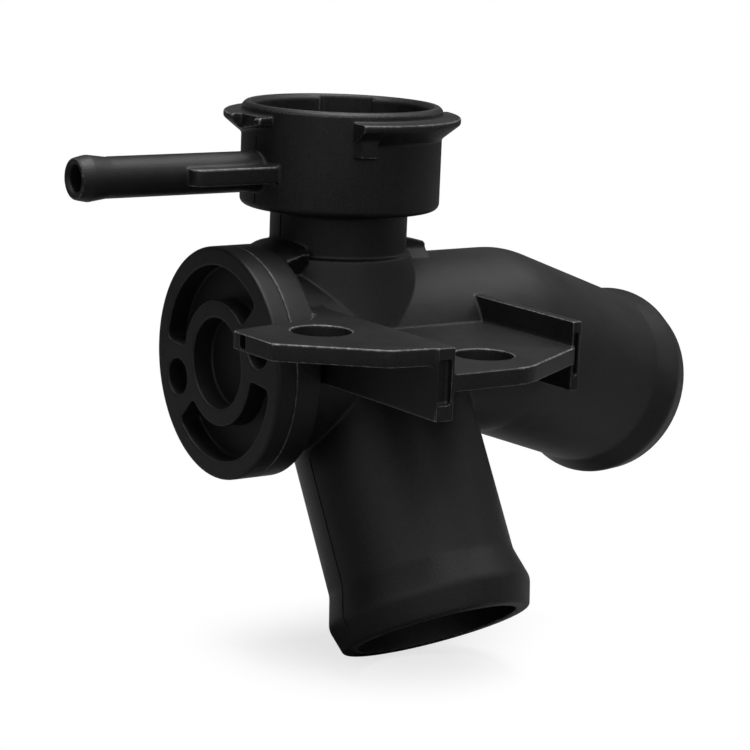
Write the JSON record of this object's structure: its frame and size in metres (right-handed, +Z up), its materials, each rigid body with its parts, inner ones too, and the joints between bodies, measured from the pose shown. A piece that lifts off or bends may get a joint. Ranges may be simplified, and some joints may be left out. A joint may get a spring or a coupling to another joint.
{
  "type": "three-way coolant pipe",
  "caption": "Moulded coolant pipe with a capped filler neck and side nipple, an angled main run closed by a welded plug, a lower branch and a side mounting bracket.",
  "frame": {"origin": "centre of the bracket's near bolt hole, on the plate's upper face", "axes": "+Z up along the filler neck, +X along the main run from the closed end to the large outlet, -Y the bracket's side"},
  "size_m": [0.1356, 0.0806, 0.0994],
  "materials": {
    "body_plastic": "black glass-filled polyamide, satin as moulded",
    "plug_plastic": "black glass-filled polyamide, fine matt face"
  },
  "bodies": {
    "root": {"pipe_body": "body_plastic", "end_plug": "plug_plastic"}
  },
  "joints": []
}
